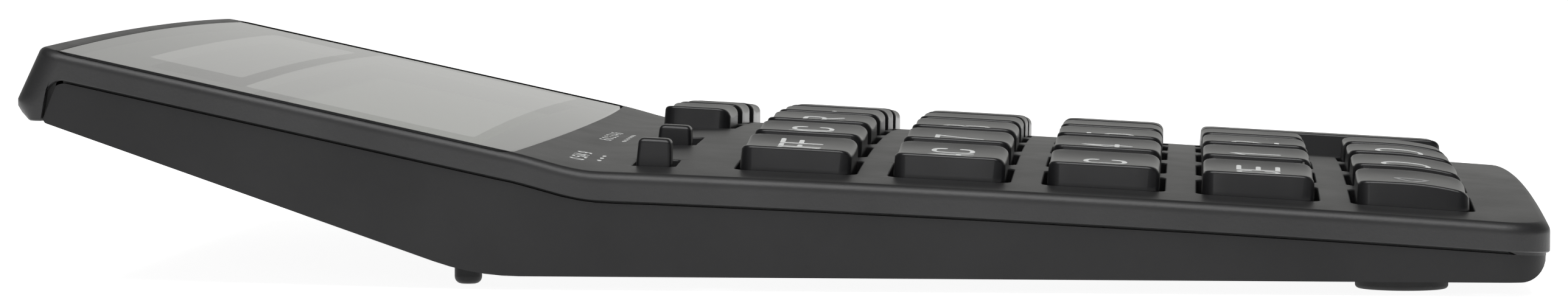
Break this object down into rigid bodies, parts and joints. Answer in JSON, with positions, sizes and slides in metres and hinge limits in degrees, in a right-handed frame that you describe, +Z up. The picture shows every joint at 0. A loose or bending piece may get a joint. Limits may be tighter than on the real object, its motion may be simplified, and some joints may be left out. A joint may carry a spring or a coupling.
{
  "type": "desktop calculator",
  "caption": "Wedge-shaped desktop calculator with an inclined solar and liquid crystal display, dished keys and two slide selectors.",
  "frame": {"origin": "on the table under the middle of the calculator", "axes": "+Y towards the display end, +X to the user's right, +Z up"},
  "size_m": [0.142, 0.187, 0.0301],
  "materials": {
    "cover_plastic": "fine matt texture",
    "case_plastic": "fine matt texture",
    "window_sheet": "smooth clear sheet, printed on its back",
    "solar_glass": "dark amorphous cell",
    "lcd_glass": "grey green panel",
    "frame_plastic": "moulded",
    "ribbon_film": "thin film",
    "lead_insulation": "smooth",
    "keypad_rubber": "soft",
    "board_laminate": "phenolic laminate",
    "chip_epoxy": "potted blob",
    "switch_plastic": "moulded",
    "cell_steel": "plated",
    "contact_metal": "spring strip",
    "screw_steel": "blackened",
    "foot_rubber": "soft",
    "key_plastic": "satin",
    "knob_plastic": "satin"
  },
  "bodies": {
    "case": {"top_cover": "cover_plastic", "bottom_case": "case_plastic", "display_window": "window_sheet", "solar_cell": "solar_glass", "lcd_panel": "lcd_glass", "lcd_frame": "frame_plastic", "lcd_ribbon": "ribbon_film", "solar_leads": "lead_insulation", "keypad_sheet": "keypad_rubber", "main_board": "board_laminate", "controller_chip": "chip_epoxy", "rounding_switch": "switch_plastic", "decimal_switch": "switch_plastic", "battery_door": "case_plastic", "coin_cell": "cell_steel", "contact_plus": "contact_metal", "contact_minus": "contact_metal", "door_screw": "screw_steel", "case_screws": "screw_steel", "board_screws": "screw_steel", "front_feet": "foot_rubber", "rear_feet": "case_plastic"},
    "key_percent": {"key_percent": "key_plastic"},
    "key_square_root": {"key_square_root": "key_plastic"},
    "key_grand_total": {"key_grand_total": "key_plastic"},
    "key_off": {"key_off": "key_plastic"},
    "key_memory_clear": {"key_memory_clear": "key_plastic"},
    "key_memory_recall": {"key_memory_recall": "key_plastic"},
    "key_memory_minus": {"key_memory_minus": "key_plastic"},
    "key_memory_plus": {"key_memory_plus": "key_plastic"},
    "key_divide": {"key_divide": "key_plastic"},
    "key_on": {"key_on": "key_plastic"},
    "key_7": {"key_7": "key_plastic"},
    "key_8": {"key_8": "key_plastic"},
    "key_9": {"key_9": "key_plastic"},
    "key_multiply": {"key_multiply": "key_plastic"},
    "key_mark_up": {"key_mark_up": "key_plastic"},
    "key_clear": {"key_clear": "key_plastic"},
    "key_4": {"key_4": "key_plastic"},
    "key_5": {"key_5": "key_plastic"},
    "key_6": {"key_6": "key_plastic"},
    "key_minus": {"key_minus": "key_plastic"},
    "key_sign": {"key_sign": "key_plastic"},
    "key_clear_entry": {"key_clear_entry": "key_plastic"},
    "key_1": {"key_1": "key_plastic"},
    "key_2": {"key_2": "key_plastic"},
    "key_3": {"key_3": "key_plastic"},
    "key_plus": {"key_plus": "key_plastic"},
    "key_equals": {"key_equals": "key_plastic"},
    "key_backspace": {"key_backspace": "key_plastic"},
    "key_0": {"key_0": "key_plastic"},
    "key_00": {"key_00": "key_plastic"},
    "key_point": {"key_point": "key_plastic"},
    "rounding_slider": {"rounding_slider": "knob_plastic"},
    "decimal_slider": {"decimal_slider": "knob_plastic"}
  },
  "joints": [
    {"name": "key_percent_press", "type": "slide", "parent": "case", "child": "key_percent", "axis": [0, 0.0515, -0.9987], "range_m": [0, 0.0011], "stiffness_N_per_m": 300, "springref_m": -0.0005},
    {"name": "key_square_root_press", "type": "slide", "parent": "case", "child": "key_square_root", "axis": [0, 0.0515, -0.9987], "range_m": [0, 0.0011], "stiffness_N_per_m": 300, "springref_m": -0.0005},
    {"name": "key_grand_total_press", "type": "slide", "parent": "case", "child": "key_grand_total", "axis": [0, 0.0515, -0.9987], "range_m": [0, 0.0011], "stiffness_N_per_m": 300, "springref_m": -0.0005},
    {"name": "key_off_press", "type": "slide", "parent": "case", "child": "key_off", "axis": [0, 0.0515, -0.9987], "range_m": [0, 0.0011], "stiffness_N_per_m": 300, "springref_m": -0.0005},
    {"name": "key_memory_clear_press", "type": "slide", "parent": "case", "child": "key_memory_clear", "axis": [0, 0.0515, -0.9987], "range_m": [0, 0.0011], "stiffness_N_per_m": 300, "springref_m": -0.0005},
    {"name": "key_memory_recall_press", "type": "slide", "parent": "case", "child": "key_memory_recall", "axis": [0, 0.0515, -0.9987], "range_m": [0, 0.0011], "stiffness_N_per_m": 300, "springref_m": -0.0005},
    {"name": "key_memory_minus_press", "type": "slide", "parent": "case", "child": "key_memory_minus", "axis": [0, 0.0515, -0.9987], "range_m": [0, 0.0011], "stiffness_N_per_m": 300, "springref_m": -0.0005},
    {"name": "key_memory_plus_press", "type": "slide", "parent": "case", "child": "key_memory_plus", "axis": [0, 0.0515, -0.9987], "range_m": [0, 0.0011], "stiffness_N_per_m": 300, "springref_m": -0.0005},
    {"name": "key_divide_press", "type": "slide", "parent": "case", "child": "key_divide", "axis": [0, 0.0515, -0.9987], "range_m": [0, 0.0011], "stiffness_N_per_m": 300, "springref_m": -0.0005},
    {"name": "key_on_press", "type": "slide", "parent": "case", "child": "key_on", "axis": [0, 0.0515, -0.9987], "range_m": [0, 0.0011], "stiffness_N_per_m": 300, "springref_m": -0.0005},
    {"name": "key_7_press", "type": "slide", "parent": "case", "child": "key_7", "axis": [0, 0.0515, -0.9987], "range_m": [0, 0.0011], "stiffness_N_per_m": 300, "springref_m": -0.0005},
    {"name": "key_8_press", "type": "slide", "parent": "case", "child": "key_8", "axis": [0, 0.0515, -0.9987], "range_m": [0, 0.0011], "stiffness_N_per_m": 300, "springref_m": -0.0005},
    {"name": "key_9_press", "type": "slide", "parent": "case", "child": "key_9", "axis": [0, 0.0515, -0.9987], "range_m": [0, 0.0011], "stiffness_N_per_m": 300, "springref_m": -0.0005},
    {"name": "key_multiply_press", "type": "slide", "parent": "case", "child": "key_multiply", "axis": [0, 0.0515, -0.9987], "range_m": [0, 0.0011], "stiffness_N_per_m": 300, "springref_m": -0.0005},
    {"name": "key_mark_up_press", "type": "slide", "parent": "case", "child": "key_mark_up", "axis": [0, 0.0515, -0.9987], "range_m": [0, 0.0011], "stiffness_N_per_m": 300, "springref_m": -0.0005},
    {"name": "key_clear_press", "type": "slide", "parent": "case", "child": "key_clear", "axis": [0, 0.0515, -0.9987], "range_m": [0, 0.0011], "stiffness_N_per_m": 300, "springref_m": -0.0005},
    {"name": "key_4_press", "type": "slide", "parent": "case", "child": "key_4", "axis": [0, 0.0515, -0.9987], "range_m": [0, 0.0011], "stiffness_N_per_m": 300, "springref_m": -0.0005},
    {"name": "key_5_press", "type": "slide", "parent": "case", "child": "key_5", "axis": [0, 0.0515, -0.9987], "range_m": [0, 0.0011], "stiffness_N_per_m": 300, "springref_m": -0.0005},
    {"name": "key_6_press", "type": "slide", "parent": "case", "child": "key_6", "axis": [0, 0.0515, -0.9987], "range_m": [0, 0.0011], "stiffness_N_per_m": 300, "springref_m": -0.0005},
    {"name": "key_minus_press", "type": "slide", "parent": "case", "child": "key_minus", "axis": [0, 0.0515, -0.9987], "range_m": [0, 0.0011], "stiffness_N_per_m": 300, "springref_m": -0.0005},
    {"name": "key_sign_press", "type": "slide", "parent": "case", "child": "key_sign", "axis": [0, 0.0515, -0.9987], "range_m": [0, 0.0011], "stiffness_N_per_m": 300, "springref_m": -0.0005},
    {"name": "key_clear_entry_press", "type": "slide", "parent": "case", "child": "key_clear_entry", "axis": [0, 0.0515, -0.9987], "range_m": [0, 0.0011], "stiffness_N_per_m": 300, "springref_m": -0.0005},
    {"name": "key_1_press", "type": "slide", "parent": "case", "child": "key_1", "axis": [0, 0.0515, -0.9987], "range_m": [0, 0.0011], "stiffness_N_per_m": 300, "springref_m": -0.0005},
    {"name": "key_2_press", "type": "slide", "parent": "case", "child": "key_2", "axis": [0, 0.0515, -0.9987], "range_m": [0, 0.0011], "stiffness_N_per_m": 300, "springref_m": -0.0005},
    {"name": "key_3_press", "type": "slide", "parent": "case", "child": "key_3", "axis": [0, 0.0515, -0.9987], "range_m": [0, 0.0011], "stiffness_N_per_m": 300, "springref_m": -0.0005},
    {"name": "key_plus_press", "type": "slide", "parent": "case", "child": "key_plus", "axis": [0, 0.0515, -0.9987], "range_m": [0, 0.0011], "stiffness_N_per_m": 300, "springref_m": -0.0005},
    {"name": "key_equals_press", "type": "slide", "parent": "case", "child": "key_equals", "axis": [0, 0.0515, -0.9987], "range_m": [0, 0.0011], "stiffness_N_per_m": 300, "springref_m": -0.0005},
    {"name": "key_backspace_press", "type": "slide", "parent": "case", "child": "key_backspace", "axis": [0, 0.0515, -0.9987], "range_m": [0, 0.0011], "stiffness_N_per_m": 300, "springref_m": -0.0005},
    {"name": "key_0_press", "type": "slide", "parent": "case", "child": "key_0", "axis": [0, 0.0515, -0.9987], "range_m": [0, 0.0011], "stiffness_N_per_m": 300, "springref_m": -0.0005},
    {"name": "key_00_press", "type": "slide", "parent": "case", "child": "key_00", "axis": [0, 0.0515, -0.9987], "range_m": [0, 0.0011], "stiffness_N_per_m": 300, "springref_m": -0.0005},
    {"name": "key_point_press", "type": "slide", "parent": "case", "child": "key_point", "axis": [0, 0.0515, -0.9987], "range_m": [0, 0.0011], "stiffness_N_per_m": 300, "springref_m": -0.0005},
    {"name": "rounding_slide", "type": "slide", "parent": "case", "child": "rounding_slider", "axis": [1, 0, 0], "range_m": [0, 0.004]},
    {"name": "decimal_slide", "type": "slide", "parent": "case", "child": "decimal_slider", "axis": [1, 0, 0], "range_m": [0, 0.01]}
  ]
}
